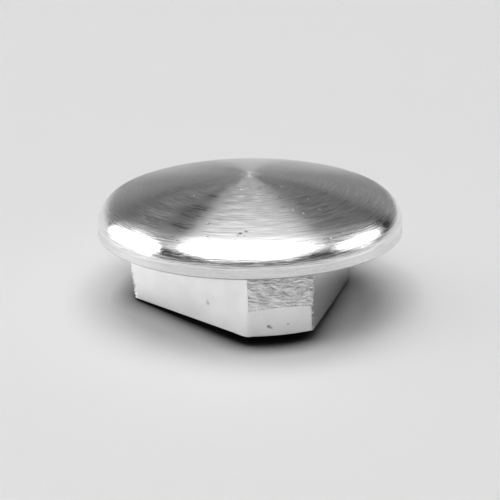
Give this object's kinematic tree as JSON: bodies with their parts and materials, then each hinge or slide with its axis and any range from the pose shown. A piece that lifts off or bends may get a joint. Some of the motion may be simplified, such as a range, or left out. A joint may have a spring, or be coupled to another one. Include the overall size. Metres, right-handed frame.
{
  "type": "pipe plug",
  "caption": "Drive-in pipe plug: a crowned round head over a tapered triangular insert, which wedges in a pipe's bore and closes its open end flush with the outside.",
  "frame": {"origin": "centre of the insert's flat base, on the plug's axis", "axes": "+Z along the plug's axis, from the base up through the crown; one corner of the triangular insert points along -Y"},
  "size_m": [0.0484, 0.0482, 0.0205],
  "materials": {
    "aluminium": "turned on the crown, rim and insert corners, as cast on the insert's flats"
  },
  "bodies": {
    "root": {"plug_body": "aluminium"}
  },
  "joints": []
}
